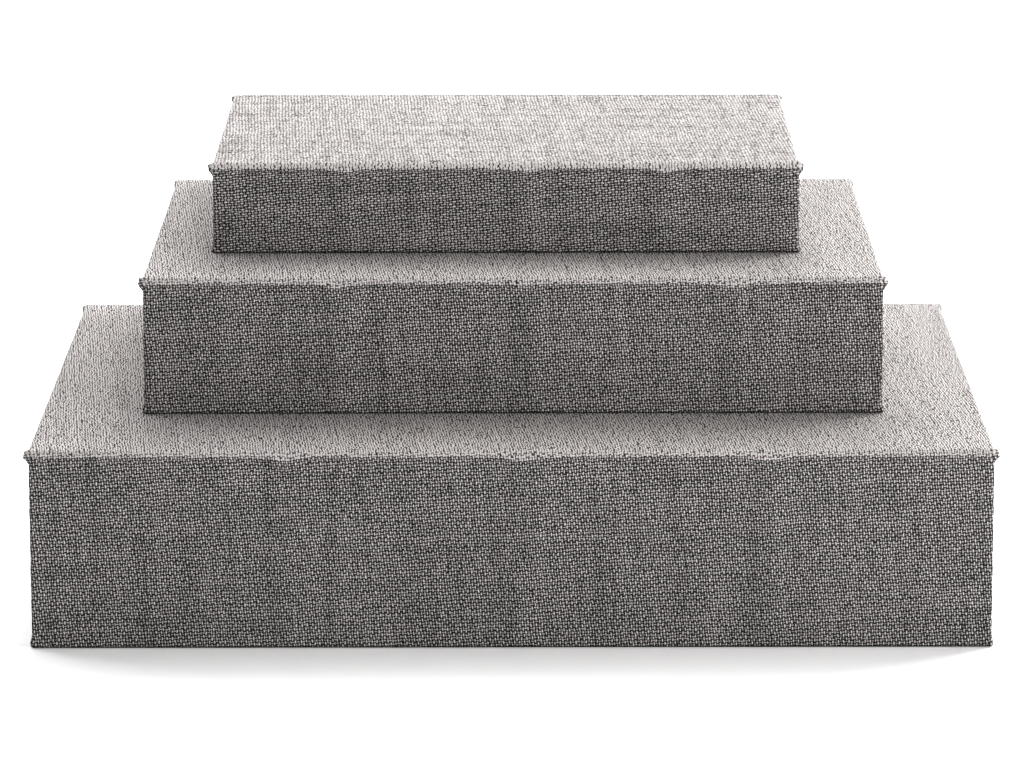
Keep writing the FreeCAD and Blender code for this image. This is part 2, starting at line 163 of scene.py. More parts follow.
def arc(middle, radius, start, end, count):
    """Points on an arc from one angle to another in degrees, its first point left out."""
    turns = np.radians(np.linspace(start, end, count + 1)[1:])
    return np.stack([middle[0] + radius * np.cos(turns), middle[1] + radius * np.sin(turns)], 1)


def vertex_normals(points, quads):
    """Unit normals at the points, from the faces around each."""
    corners = points[quads]
    normals = np.cross(corners[:, 2] - corners[:, 0], corners[:, 3] - corners[:, 1])
    total = np.zeros_like(points)
    for corner in range(4):
        np.add.at(total, quads[:, corner], normals)
    return total / np.maximum(np.linalg.norm(total, axis=1, keepdims=True), 1e-12)


def open_edges(quads):
    """Edges that belong to one face only, each with its face and its two corners there."""
    first = quads
    second = np.roll(quads, -1, axis=1)
    real = first != second
    face, corner = np.nonzero(real)
    keys = np.sort(np.stack([first[real], second[real]], 1), axis=1)
    _, where, counts = np.unique(keys, axis=0, return_inverse=True, return_counts=True)
    single = counts[where.ravel()] == 1
    return face[single], corner[single], first[real][single], second[real][single]


def cloth_piece(name, outside, inside, quads, threads, material, closed=None):
    """A thin closed sheet from its visible points, its hidden points and its faces.

    Threads holds the place on the cloth of each face's corners. Their third number is set
    here: painted shade from the way each face is turned, from 0 where the cloth lies flat on
    top to 1 where it hangs upright, for the light that falls from above. What it has above 1 is
    painted shade where the cloth turns under in the fold at the bottom. The last argument is
    the share of the upright painted shade taken off at each point.
    A quad with one corner twice in a row is a triangle.
    """
    used, quads = np.unique(quads, return_inverse=True)
    quads = quads.reshape(-1, 4)
    outside, inside = outside[used], inside[used]
    facing_up = vertex_normals(outside, quads)[:, 2]
    # Painted shade: the more upright a face, the darker its weave is painted, for the light that
    # falls from above.
    upright_shade = np.arccos(np.clip(facing_up, 0, 1)) / (math.pi / 2)
    if closed is not None:
        upright_shade = upright_shade * (1 - closed[used])
    # Painted shade where the cloth turns under in the fold at the bottom.
    fold_shade = soft_step(-facing_up, 0.1, 0.5) * (1 - soft_step(-facing_up, 0.92, 0.995))
    at_bottom = outside[:, 2] < outside[:, 2].min() + BOTTOM_FOLD
    threads[..., 2] = (upright_shade + fold_shade * at_bottom)[quads]
    count = len(outside)
    faces = []
    places = []
    for quad, spots in zip(quads.tolist(), threads.tolist()):
        kept = [n for n in range(4) if quad[n] != quad[n - 1]]
        faces.append([quad[n] for n in kept])
        places += [spots[n] for n in kept]
        kept.reverse()
        faces.append([quad[n] + count for n in kept])
        places += [spots[n] for n in kept]
    for face, corner, first, second in zip(*open_edges(quads)):
        here = threads[face, corner].tolist()
        there = threads[face, (corner + 1) % 4].tolist()
        faces.append([second, first, first + count, second + count])
        places += [there, here, here, there]
    mesh = bpy.data.meshes.new(name)
    points = np.concatenate([outside, inside]) / 1000
    mesh.from_pydata(points.tolist(), [], faces)
    mesh.polygons.foreach_set("use_smooth", [True] * len(mesh.polygons))
    layer = mesh.attributes.new("weave", "FLOAT_VECTOR", "CORNER")
    layer.data.foreach_set("vector", np.array(places, np.float32).ravel())
    mesh.materials.append(material)
    mesh.update()
    piece = bpy.data.objects.new(name, mesh)
    bpy.context.scene.collection.objects.link(piece)
    return piece


def grid_quads(rows, columns, closed=True):
    """Faces of a grid of points, a row of faces at a time. Closed rows meet at their ends."""
    across = np.arange(columns if closed else columns - 1)
    down = np.arange(rows - 1)[:, None] * columns
    here, beside = down + across, down + (across + 1) % columns
    return np.stack([here, beside, beside + columns, here + columns], -1)


def face_corners(rows, columns):
    """The row and column of each face's four corners, for a grid of points."""
    row, column = np.indices((rows - 1, columns - 1))
    return [(row, column), (row, column + 1), (row + 1, column + 1), (row + 1, column)]


def cloth_places(size, first, second):
    """Places on the cloth, in millimetres. The small box's cloth is turned by a quarter."""
    along, up = (second, -first) if size == "small" else (first, second)
    # Far from nought, and another stretch of cloth for each box.
    shift = 1000.0 + 173.0 * SIZES.index(size)
    return np.stack([along + shift, up + shift, np.zeros_like(along)], -1)


def uneven_sheet(points, quads, wave):
    """A slightly uneven cloth's visible points, and its hidden points under them."""
    normals = vertex_normals(points, quads)
    return points + normals * PLAIN_UNEVEN * wave[:, None], points - CLOTH * normals


class Sleeve:
    """The places that the cloth of one sleeve is built from."""

    def __init__(self, size):
        board_low, board_high = box_mm(f"{size}_sleeve_top_board")
        self.left, self.front = board_low[:2] - LINEN
        self.right, self.back = board_high[:2] + LINEN
        self.top = board_high[2] + LINEN
        self.bottom = box_mm(f"{size}_sleeve_bottom_board")[0][2] - LINEN
        self.card_low, self.card_high = box_mm(f"{size}_sleeve_base_card")
        lining_low, lining_high = box_mm(f"{size}_sleeve_lining")
        self.hem_left, self.hem_right = lining_low[0], lining_high[0]
        self.mouth_front = lining_low[1] + LINEN
        self.mouth_back = lining_high[1] - LINEN
        self.mouth_bottom = lining_low[2] + LINEN
        self.mouth_top = lining_high[2] - LINEN
        self.wall = self.mouth_bottom - self.bottom

    def section(self):
        """The outline round the sleeve, and the outline of its mouth, point for point."""
        spine, rear = self.front + SETBACK, self.back - SETBACK
        roll_front, roll_back = self.front + BEAD, self.back - BEAD
        lean = math.degrees(math.asin((BEAD - SETBACK) / BEAD))
        crease = self.top - BEAD - BEAD * math.cos(math.radians(lean))
        low_corner = self.bottom + BOTTOM_FOLD
        middle = (self.front + self.back) / 2
        card_front, card_back = self.card_low[1], self.card_high[1]
        mouth_low, mouth_high = self.mouth_bottom + MOUTH_FOLD, self.mouth_top - MOUTH_FOLD
        mouth_near, mouth_far = self.mouth_front + MOUTH_FOLD, self.mouth_back - MOUTH_FOLD
        near_roll = [roll_front + 1, roll_front + 3]
        far_roll = [roll_back - 3, roll_back - 1]

        under = spread(middle, spine + BOTTOM_FOLD, 5, [card_front])
        up = spread(low_corner, crease, 1.5)[1:]
        over = spread(roll_front, roll_back, 6, near_roll + far_roll)[1:]
        down = spread(crease, low_corner, 3)[1:]
        back_under = spread(rear - BOTTOM_FOLD, middle, 5, [card_back])[1:-1]

        def level(places, height):
            return np.stack([places, np.full(len(places), height)], 1)

        def upright(depth, places):
            return np.stack([np.full(len(places), depth), places], 1)

        outline = [
            level(under, self.bottom),
            arc((spine + BOTTOM_FOLD, low_corner), BOTTOM_FOLD, 270, 180, 5),
            upright(spine, up),
            arc((roll_front, self.top - BEAD), BEAD, 270 - lean, 90, 12),
            level(over, self.top),
            arc((roll_back, self.top - BEAD), BEAD, 90, lean - 90, 12),
            upright(rear, down),
            arc((rear - BOTTOM_FOLD, low_corner), BOTTOM_FOLD, 0, -90, 5),
            level(back_under, self.bottom),
        ]
        under_to = [spine + BOTTOM_FOLD, card_front, card_back, rear - BOTTOM_FOLD]
        mouth_under = [mouth_near, card_front, card_back, mouth_far]
        mouth_up = [mouth_low, mouth_high]
        mouth = [
            level(np.interp(under, under_to, mouth_under), self.mouth_bottom),
            arc((mouth_near, mouth_low), MOUTH_FOLD, 270, 180, 5),
            upright(self.mouth_front, np.interp(up, [low_corner, crease], mouth_up)),
            arc((mouth_near, mouth_high), MOUTH_FOLD, 180, 90, 12),
            level(
                np.interp(over, [roll_front, roll_back], [mouth_near, mouth_far]), self.mouth_top
            ),
            arc((mouth_far, mouth_high), MOUTH_FOLD, 90, 0, 12),
            upright(self.mouth_back, np.interp(down, [low_corner, crease], mouth_up)),
            arc((mouth_far, mouth_low), MOUTH_FOLD, 0, -90, 5),
            level(np.interp(back_under, under_to, mouth_under), self.mouth_bottom),
        ]
        return np.concatenate(outline), np.concatenate(mouth)

    def path(self):
        """The way of the cloth from the hem in the right mouth round to the left one.

        Each step is a place along the length and a share of the way in from the outside
        to the mouth.
        """
        ends = []
        for rim, hem, way in ((self.right, self.hem_right, -1), (self.left, self.hem_left, 1)):
            hems = spread(abs(rim - hem), MOUTH_FOLD, 3)
            steps = np.concatenate(
                [
                    np.stack([hems, np.full(len(hems), self.wall)], 1),
                    arc((MOUTH_FOLD, self.wall - MOUTH_FOLD), MOUTH_FOLD, 90, 180, 4),
                    [[0, (self.wall + END_FOLD - MOUTH_FOLD) / 2]],
                    [[0, END_FOLD]],
                    arc((END_FOLD, END_FOLD), END_FOLD, 180, 270, 5),
                ]
            )
            ends.append(np.stack([rim + way * steps[:, 0], steps[:, 1] / self.wall], 1))
        right, left = ends
        near_right = self.right - END_FOLD - np.array([0.7, 1.6, 2.8])
        near_left = self.left + END_FOLD + np.array([2.8, 1.6, 0.7])
        card = [self.card_high[0], self.card_low[0]]
        between = spread(near_right[-1], near_left[0], 1.6, card)
        along = np.concatenate([near_right[:-1], between, near_left[1:]])
        outside = np.stack([along, np.zeros(len(along))], 1)
        return np.concatenate([right, outside, left[::-1]])


def sleeve_cover(size, material):
    """The linen round one sleeve, with the ridges, rolls and nubs that the boards give it."""
    plan = Sleeve(size)
    outline, mouth = plan.section()
    path = plan.path()
    rows, columns = len(path), len(outline)
    along = np.repeat(path[:, :1], columns, axis=1)
    share = path[:, 1][:, None]
    depth = outline[:, 0] + (mouth[:, 0] - outline[:, 0]) * share
    height = outline[:, 1] + (mouth[:, 1] - outline[:, 1]) * share
    plain = np.stack([along, depth, height], -1)

    # Faces, with the base card's opening left out.
    quads = grid_quads(rows, columns)
    centre = plain.reshape(-1, 3)[quads].mean(2)
    flat_centre = centre[..., :2]
    on_card = (flat_centre > plan.card_low[:2]) & (flat_centre < plan.card_high[:2])
    opening = on_card.all(-1) & (centre[..., 2] < plan.bottom + 0.1)

    # Places on the cloth: the length along the path, and the way round the outline.
    steps = np.hypot(np.diff(path[:, 0]), np.diff(path[:, 1]) * plan.wall)
    first = np.concatenate([[0], np.cumsum(steps)])
    first = path[rows // 2, 0] - (first - first[rows // 2])
    ring = np.concatenate([outline, outline[:1]])
    second = np.concatenate([[0], np.cumsum(np.hypot(*np.diff(ring, axis=0).T))])
    corners = face_corners(rows, columns + 1)
    places = np.stack([cloth_places(size, first[r], second[c]) for r, c in corners], -2)
    quads, places = quads[~opening], places[~opening]

    points = plain.reshape(-1, 3)
    hidden = points - CLOTH * vertex_normals(points, quads)
    shape = plain.copy()
    hidden = hidden.reshape(plain.shape)

    def up_from(start, end=0.0):
        """0 below the first distance under the top, and 1 above the second one."""
        return soft_step(outline[:, 1], plan.top - start, plan.top - end)

    # Ridges over the bands, and the dips of the rolled edge above them.
    outer = 1 - soft_step(share, 0.0, 0.3)
    on_front = outline[:, 0] < plan.front + BEAD + 0.01
    from_fold = soft_step(outline[:, 1], plan.bottom + 0.4, plan.bottom + 2.6)
    ridge_weight = on_front * (1 - up_from(3.4, 1.6)) * from_fold
    dip_weight = on_front * (1 - up_from(1.9)) * up_from(9.0, 3.4)
    length = plan.right - plan.left
    ridges = np.zeros(rows)
    dips = np.zeros(rows)
    for band, dip in zip(BANDS[size], DIPS[size]):
        away = path[:, 0] - (plan.left + length * band)
        falling = soft_step(away, BAND_CREST, BAND_CREST + BAND_FALL[size])
        ridges += soft_step(away, -BAND_RISE, 0.0) * (1 - falling)
        dips += dip * np.exp(-((away / DIP_REACH) ** 2))
    proud = BAND_PROUD * outer * ridges[:, None] * ridge_weight
    shape[..., 1] -= proud
    hidden[..., 1] -= proud
    shape[..., 2] -= outer * dips[:, None] * dip_weight

    # Slight unevenness of the front face and of the rolled edge.
    uneven = Ripple(SEEDS[size], FACE_WAVE)(along, height)
    shape[..., 1] -= (FACE_SWELL + FACE_UNEVEN * uneven) * (outer * ridge_weight)
    wobble = Ripple(SEEDS[size] + 1, ROLL_WAVE)(along, depth)
    roll_weight = outer * on_front * up_from(4.5, 3.0) * (1 - up_from(0.6))
    shape[..., 1] -= ROLL_UNEVEN * wobble * roll_weight
    shape[..., 2] += ROLL_UNEVEN * wobble * roll_weight

    # Nubs of turned-in linen at the ends of the long edges, and rough ends between them.
    fold = SETBACK + BOTTOM_FOLD
    upper, lower = plan.top - BEAD, plan.bottom + BOTTOM_FOLD
    lumps = (
        (plan.front + BEAD, upper, TOP_NUB_RADIUS, TOP_NUB),
        (plan.back - BEAD, upper, TOP_NUB_RADIUS, BACK_NUB),
        (plan.front + fold, lower, BOTTOM_NUB_RADIUS, BOTTOM_NUB),
        (plan.back - fold, lower, BOTTOM_NUB_RADIUS, BOTTOM_NUB),
    )
    lumpy = Ripple(SEEDS[size] + 2, NUB_WAVE)(depth, height)
    rough = Ripple(SEEDS[size] + 3, MOUTH_WAVE)(depth, height)
    for rim, way in ((plan.right, 1), (plan.left, -1)):
        at_rim = soft_step(way * along, way * rim - 2.4, way * rim - 0.2)
        for lump_y, lump_z, radius, reach in lumps:
            off = np.hypot(depth - lump_y, height - lump_z) / radius
            bulge = np.sqrt(np.clip(1 - off**2.6, 0, 1))
            shape[..., 0] += way * at_rim * bulge * reach * (1 + NUB_UNEVEN * lumpy)
        shape[..., 0] += way * MOUTH_UNEVEN * rough * at_rim

    # Painted lighter along the rolled edge: part of the upright painted shade is taken off there.
    closed = ROLL_SHADE_CUT * outer * (on_front * up_from(2.7, 1.4))
    piece = cloth_piece(
        f"{size}_sleeve_cloth",
        shape.reshape(-1, 3),
        hidden.reshape(-1, 3),
        quads,
        places,
        material,
        closed.ravel(),
    )
    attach(piece, f"{size}_sleeve")
    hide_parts(f"{size}_sleeve_linen")
    flat_width = (length + 2 * plan.wall + 2 * (plan.right - plan.hem_right)) / 1000


class Wrap:
    """Cloth wrapped round a tray or a panel: a flat patch, and rings that rise from its rim.

    The rings are rounded rectangles over two axes; each has a place along the third.
    """

    def __init__(self, size, low, high, lines, corner, bend=4):
        self.size = size
        self.low, self.high = low, high
        self.corner = corner
        self.bend = bend
        inner_low, inner_high = self.low + corner, self.high - corner
        step = 3.0 if size == "large" else 2.5
        self.across = spread(inner_low[0], inner_high[0], step, lines[0])
        self.deep = spread(inner_low[1], inner_high[1], step, lines[1])

    def ring(self, low, high, radius):
        """Points round a rounded rectangle, always the same number in the same order."""
        across, deep = self.across.copy(), self.deep.copy()
        across[[0, -1]] = low[0] + radius, high[0] - radius
        deep[[0, -1]] = low[1] + radius, high[1] - radius
        near, far = deep[0], deep[-1]
        left, right = across[0], across[-1]

        def side(first, second):
            return np.stack(np.broadcast_arrays(first, second), 1).astype(float)

        return np.concatenate(
            [
                side(across, np.array([low[1]])),
                arc((right, near), radius, -90, 0, self.bend)[:-1],
                side(np.array([high[0]]), deep),
                arc((right, far), radius, 0, 90, self.bend)[:-1],
                side(across[::-1], np.array([high[1]])),
                arc((left, far), radius, 90, 180, self.bend)[:-1],
                side(np.array([low[0]]), deep[::-1]),
                arc((left, near), radius, 180, 270, self.bend)[:-1],
            ]
        )

    def sides(self):
        """The side that each stretch between two ring points belongs to, 0 to 3."""
        half = self.bend // 2
        rest = self.bend - half
        long, short = len(self.across) - 1, len(self.deep) - 1
        counts = [long + half, rest + short + half, rest + long + half, rest + short + half, rest]
        return np.repeat([0, 1, 2, 3, 0], counts)

    def patch(self, place):
        """The flat patch inside the corners' middles: its points and faces."""
        across, deep = np.meshgrid(self.across, self.deep)
        points = np.stack([across, deep, np.full(across.shape, place)], -1).reshape(-1, 3)
        return points, grid_quads(len(self.deep), len(self.across), closed=False).reshape(-1, 4)

    def patch_rim(self):
        """For each ring point, the patch point nearest to it."""
        long, short = len(self.across), len(self.deep)
        number = np.arange(long * short).reshape(short, long)
        parts = []
        for edge in (number[0], number[:, -1], number[-1, ::-1], number[::-1, 0]):
            parts += [edge, np.full(self.bend - 1, edge[-1])]
        return np.concatenate(parts)

    def cloth(self, rings, places, steps, opening=None, closing=None):
        """Points, faces and places on the cloth of the whole wrap.

        Rings are arrays of ring points, places their heights and steps the length of cloth
        from the patch's edge. Opening is a box to leave out, and closing the place of a
        second patch that ends the wrap.
        """
        patch, patch_faces = self.patch(places[0])
        count = len(rings[0])
        base = len(patch)
        points = [patch]
        for ring, place in zip(rings, places):
            points.append(np.column_stack([ring, np.full(count, place)]))
        points = np.concatenate(points)

        rim = self.patch_rim()
        following = np.roll(rim, -1)
        ring_number = base + np.arange(count)
        next_number = np.roll(ring_number, -1)
        strip = np.stack([rim, following, next_number, ring_number], 1)
        walls = grid_quads(len(rings), count) + base
        sides = self.sides()
        outline = self.ring(self.low, self.high, self.corner)

        def unrolled(number, step):
            """The place on the cloth of a ring point, as part of its face's side."""
            across, deep = outline[number % count].T
            across = np.where(sides == 1, self.high[0] + step, across)
            across = np.where(sides == 3, self.low[0] - step, across)
            deep = np.where(sides == 0, self.low[1] - step, deep)
            deep = np.where(sides == 2, self.high[1] + step, deep)
            return cloth_places(self.size, across, deep)

        def on_patch(numbers):
            return cloth_places(self.size, patch[numbers, 0], patch[numbers, 1])

        here, beside = np.arange(count), np.arange(count) + 1
        inmost = [unrolled(beside, steps[0]), unrolled(here, steps[0])]
        strip_places = np.stack([on_patch(rim), on_patch(following), *inmost], 1)
        wall_places = []
        for low, high in zip(steps, steps[1:]):
            corners = ((here, low), (beside, low), (beside, high), (here, high))
            wall_places.append(np.stack([unrolled(n, step) for n, step in corners], 1))
        quads = [patch_faces[:, ::-1], strip, walls.reshape(-1, 4)]
        threads = [on_patch(patch_faces[:, ::-1]), strip_places, *wall_places]
        if closing is not None:
            far, far_faces = self.patch(closing)
            start = len(points)
            points = np.concatenate([points, far])
            last = ring_number + count * (len(rings) - 1)
            far_strip = np.stack([last, np.roll(last, -1), following + start, rim + start], 1)
            quads += [far_faces + start, far_strip]
            threads += [on_patch(far_faces), strip_places[:, ::-1]]
        quads, threads = np.concatenate(quads), np.concatenate(threads)
        if opening is not None:
            centre = points[quads].mean(1)
            inside = ((centre > opening[0]) & (centre < opening[1])).all(1)
            quads, threads = quads[~inside], threads[~inside]
        return points, quads, threads


def folded_rings(wrap, fold, start, way=1):
    """Rings round a fold from the flat patch out to the full outline.

    With them come their heights and the lengths of cloth up to them.
    """
    rings, places, steps = [], [], []
    for turn in np.radians(np.linspace(0, 90, 5)):
        inset = fold * (1 - math.sin(turn))
        radius = max(wrap.corner - inset, 0.05)
        rings.append(wrap.ring(wrap.low + inset, wrap.high - inset, radius))
        places.append(start + way * fold * (1 - math.cos(turn)))
        steps.append(wrap.corner - fold + fold * turn)
    return rings, places, steps


def drawer_cover(size, material):
    """The linen round one drawer and over its rim, with the slot for the ribbon."""
    low, high = box_mm(f"{size}_drawer_linen")
    ribbon_low, ribbon_high = box_mm(f"{size}_drawer_pull_ribbon")
    slot_y = [ribbon_low[1] - SLOT_ROOM, ribbon_high[1] + SLOT_ROOM]
    slot_z = [ribbon_high[2] - LINEN - SLOT_ROOM, ribbon_high[2] + SLOT_ROOM]
    wrap = Wrap(size, low[:2], high[:2], ([], slot_y), RIM_FOLD)
    board_low, board_high = box_mm(f"{size}_drawer_inner_end_wall")
    wall = board_high[0] - board_low[0] + 2 * LINEN

    rings, places, steps = folded_rings(wrap, DRAWER_FOLD, low[2])
    outer = rings[-1]
    inner = wrap.ring(wrap.low + wall, wrap.high - wall, 0.3)
    rim = high[2] - RIM_FOLD
    upright = spread(places[-1], rim, 3, slot_z)[1:]
    down = spread(rim, high[2] - RIM_HEM, 2.4)[1:]
    up_and_over = [
        *((0.0, place) for place in upright),
        *arc((RIM_FOLD, rim), RIM_FOLD, 180, 90, 4),
        (wall - RIM_FOLD, high[2]),
        *arc((wall - RIM_FOLD, rim), RIM_FOLD, 90, 0, 4),
        *((wall, place) for place in down),
    ]
    step, before = steps[-1], (0.0, places[-1])
    for inward, place in up_and_over:
        rings.append(outer + (inner - outer) * (inward / wall))
        places.append(place)
        step += math.hypot(inward - before[0], place - before[1])
        steps.append(step)
        before = (inward, place)
    opening = (
        np.array([high[0] - 1.5, slot_y[0], slot_z[0]]),
        np.array([high[0] + 1, slot_y[1], slot_z[1]]),
    )
    points, quads, threads = wrap.cloth(rings, places, steps, opening=opening)
    wave = Ripple(SEEDS[size] + 5, DRAWER_WAVE)(points[:, 0] + points[:, 1], points[:, 2])
    points, hidden = uneven_sheet(points, quads, wave)
    piece = cloth_piece(f"{size}_drawer_cloth", points, hidden, quads, threads, material)
    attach(piece, f"{size}_drawer")
    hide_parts(f"{size}_drawer_linen")
    reach = 2 * step / 1000
    extent = (high - low) / 1000
    flat = (extent[0] + reach, extent[1] + reach)
    corners = 4 * (step / 1000) ** 2
    flat[0] * flat[1] - corners


def panel_cover(size, material):
    """The linen round the panel that closes one sleeve's left end."""
    low, high = box_mm(f"{size}_sleeve_end_linen")
    thick = high[0] - low[0]
    wrap = Wrap(size, low[1:], high[1:], ([], []), RIM_FOLD)
    rings, places, steps = folded_rings(wrap, PANEL_FOLD, low[0])
    far_rings, far_places, far_steps = folded_rings(wrap, PANEL_FOLD, high[0], way=-1)
    rings += far_rings[::-1]
    places += far_places[::-1]
    whole = 2 * steps[-1] + thick - 2 * PANEL_FOLD
    steps += [whole - step for step in far_steps[::-1]]
    points, quads, threads = wrap.cloth(rings, places, steps, closing=high[0])
    points = points[:, [2, 0, 1]]
    wave = Ripple(SEEDS[size] + 7, PANEL_WAVE)(points[:, 1], points[:, 2])
    points, hidden = uneven_sheet(points, quads, wave)
    piece = cloth_piece(f"{size}_end_cloth", points, hidden, quads, threads, material)
    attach(piece, f"{size}_sleeve")
    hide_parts(f"{size}_sleeve_end_linen")


def pull_ribbon(size, material):
    """The ribbon: glued inside, led through the slot and folded double on the face."""
    low, high = box_mm(f"{size}_drawer_pull_ribbon")
    face = box_mm(f"{size}_drawer_linen")[1][0]
    lead = high[2] - LINEN / 2
    tail_x = low[0] + LINEN / 2
    outer_x, inner_x = face + 1.5 * LINEN, face + LINEN / 2
    foot = low[2] + LINEN
    turn = (outer_x - inner_x) / 2
    knee = lead - RIBBON_BEND
    tail = RIBBON_TAIL[size]
    line = np.concatenate(
        [
            [[tail_x, lead - tail + LINEN / 2], [tail_x, lead - tail / 2], [tail_x, knee]],
            arc((tail_x + RIBBON_BEND, knee), RIBBON_BEND, 180, 90, 4),
            [[outer_x - RIBBON_BEND, lead]],
            arc((outer_x - RIBBON_BEND, knee), RIBBON_BEND, 90, 0, 4),
            spread(knee, foot, 2.5)[1:, None] * [0, 1] + [outer_x, 0],
            arc((outer_x - turn, foot), turn, 0, -180, 8),
            spread(foot, lead - 0.9, 2.5)[1:, None] * [0, 1] + [inner_x, 0],
        ]
    )
    ahead = np.gradient(line, axis=0)
    ahead /= np.linalg.norm(ahead, axis=1, keepdims=True)
    side = np.stack([-ahead[:, 1], ahead[:, 0]], 1)
    across = np.linspace(low[1], high[1], 13)
    rows, columns = len(line), len(across)

    def surface(offset):
        """The ribbon's points this far to one side of its middle."""
        way = line + side * offset
        grid = np.empty((rows, columns, 3))
        grid[..., 0] = way[:, :1]
        grid[..., 1] = across
        grid[..., 2] = way[:, 1:]
        return grid.reshape(-1, 3)

    quads = grid_quads(rows, columns, closed=False)
    run = np.concatenate([[0], np.cumsum(np.linalg.norm(np.diff(line, axis=0), axis=1))])
    corners = face_corners(rows, columns)
    threads = np.stack(
        [np.stack([across[c], run[r] + 100, np.zeros(r.shape)], -1) for r, c in corners], -2
    )
    piece = cloth_piece(
        f"{size}_ribbon",
        surface(CLOTH / 2),
        surface(-CLOTH / 2),
        quads.reshape(-1, 4),
        threads.reshape(-1, 4, 3),
        material,
    )
    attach(piece, f"{size}_drawer")
    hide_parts(f"{size}_drawer_pull_ribbon")


def feed(tree, slot, value):
    """Link a field to a node's slot, or set a plain number there."""
    if isinstance(value, Field):
        tree.links.new(value.socket, slot)
    else:
        slot.default_value = value


class Field:
    """A number that varies over a surface, held as a socket among a material's nodes."""

    def __init__(self, tree, socket):
        self.tree = tree
        self.socket = socket

    def math(self, operation, *others, clamp=False):
        """What this operation makes of this field and the others."""
        node = self.tree.nodes.new("ShaderNodeMath")
        node.operation = operation
        node.use_clamp = clamp
        for slot, value in zip(node.inputs, (self, *others)):
            feed(self.tree, slot, value)
        return Field(self.tree, node.outputs[0])

    def __add__(self, other):
        return self.math("ADD", other)

    def __sub__(self, other):
        return self.math("SUBTRACT", other)

    def __mul__(self, other):
        return self.math("MULTIPLY", other)

    def __truediv__(self, other):
        return self.math("DIVIDE", other)

    __radd__ = __add__
    __rmul__ = __mul__

    def __rsub__(self, other):
        return (self * -1) + other

    def floor(self):
        return self.math("FLOOR")

    def highest(self, other):
        return self.math("MAXIMUM", other)

    def above(self, other):
        return self.math("GREATER_THAN", other)

    def wave(self):
        """The cosine of this many half turns."""
        return (self * math.pi).math("COSINE")

    def step(self, low, high):
        """0 below low, 1 above high, and a soft change in between."""
        node = self.tree.nodes.new("ShaderNodeMapRange")
        node.interpolation_type = "SMOOTHSTEP"
        for name, value in (("Value", self), ("From Min", low), ("From Max", high)):
            feed(self.tree, node.inputs[name], value)
        return Field(self.tree, node.outputs["Result"])

    def blend(self, first, second):
        """The first field where this is 0, the second where it is 1."""
        return first + (second - first) * self


def join_vector(tree, *parts):
    """A vector or colour from its three parts."""
    node = tree.nodes.new("ShaderNodeCombineXYZ")
    for slot, part in zip(node.inputs, parts):
        feed(tree, slot, part)
    return node.outputs["Vector"]


def split_vector(tree, socket):
    """The three parts of a vector or colour."""
    node = tree.nodes.new("ShaderNodeSeparateXYZ")
    tree.links.new(socket, node.inputs["Vector"])
    return [Field(tree, output) for output in node.outputs]


def object_vector(tree):
    """The place on the object, in metres."""
    return tree.nodes.new("ShaderNodeTexCoord").outputs["Object"]


def cloth_vector(tree):
    """The place on the cloth, in millimetres."""
    node = tree.nodes.new("ShaderNodeAttribute")
    node.attribute_name = "weave"
    return node.outputs["Vector"]


def noise_fields(tree, vector, scale, detail=1.0, roughness=0.5):
    """Two independent soft noises, each around nought and within half of it either way."""
    node = tree.nodes.new("ShaderNodeTexNoise")
    node.inputs["Scale"].default_value = scale
    node.inputs["Detail"].default_value = detail
    node.inputs["Roughness"].default_value = roughness
    tree.links.new(vector, node.inputs["Vector"])
    first, second, _ = split_vector(tree, node.outputs["Color"])
    return first - 0.5, second - 0.5


def chance_fields(tree, number):
    """Three chance numbers for a whole number, each around nought."""
    node = tree.nodes.new("ShaderNodeTexWhiteNoise")
    node.noise_dimensions = "1D"
    tree.links.new(number.socket, node.inputs["W"])
    return [part - 0.5 for part in split_vector(tree, node.outputs["Color"])]


def start_material(name, roughness, specular):
    """A new material's nodes and its shader, with the shader's plain numbers set."""
    material = bpy.data.materials.new(name)
    material.use_nodes = True
    tree = material.node_tree
    shader = tree.nodes["Principled BSDF"]
    shader.inputs["Roughness"].default_value = roughness
    shader.inputs["Specular IOR Level"].default_value = specular
    return material, tree, shader


def add_colour(tree, shader, tone, tint):
    """Colour the surface: the tone field in the given tint."""
    colour = join_vector(tree, *(tone * part for part in tint))
    tree.links.new(colour, shader.inputs["Base Color"])


def add_bump(tree, shader, height, depth):
    """Raise the surface by the height field, in millimetres for a change of one."""
    node = tree.nodes.new("ShaderNodeBump")
    node.inputs["Strength"].default_value = 1.0
    node.inputs["Distance"].default_value = depth / 1000
    feed(tree, node.inputs["Height"], height)
    tree.links.new(node.outputs["Normal"], shader.inputs["Normal"])


# The threads' spacing in millimetres, how far the weave is skewed, and its relief.
WARP_PITCH = 0.905
WEFT_PITCH = 1.16
WARP_SKEW = 0.092
WEFT_SKEW = 0.048
WEAVE_RELIEF = 0.12
LINEN_TINT = (1.0, 0.935, 0.917)

# The weave's numbers where it hangs upright, where it lies flat, and where it lies flat on the
# small box. The upright numbers paint the weave darker, with deeper holes and more contrast:
# painted shade for the light that falls from above. In turn: how far crossings are out of
# place, half the threads' widths as shares of their pitch, how soft their sides are, the
# height at which they pass between crossings, the weft's height against the warp's, the
# tone, how much crossings differ, how far threads stray, how much short lengths of them
# differ, how dark the rare dark crossings are, and how quickly painted shade darkens the
# threads where they lie low.
WEAVE = {
    "nudge": (0.3, 0.5, 0.5),
    "half_warp": (0.33, 0.36, 0.66),
    "half_weft": (0.26, 0.34, 0.45),
    "soft": (0.25, 0.6, 0.6),
    "warp_mid": (0.4, 0.92, 0.3),
    "weft_mid": (0.5, 0.37, 0.72),
    "weft_lift": (0.68, 0.65, 0.75),
    "tone": (1.5, 1.65, 1.1),
    "mixed": (0.95, 0.8, 0.75),
    "stray": (0.2, 1.1, 0.8),
    "dashes": (0.3, 1.7, 0.6),
    "specks": (0.1, 1.1, 0.7),
    "depth": (2.0, 2.1, 1.5),
}


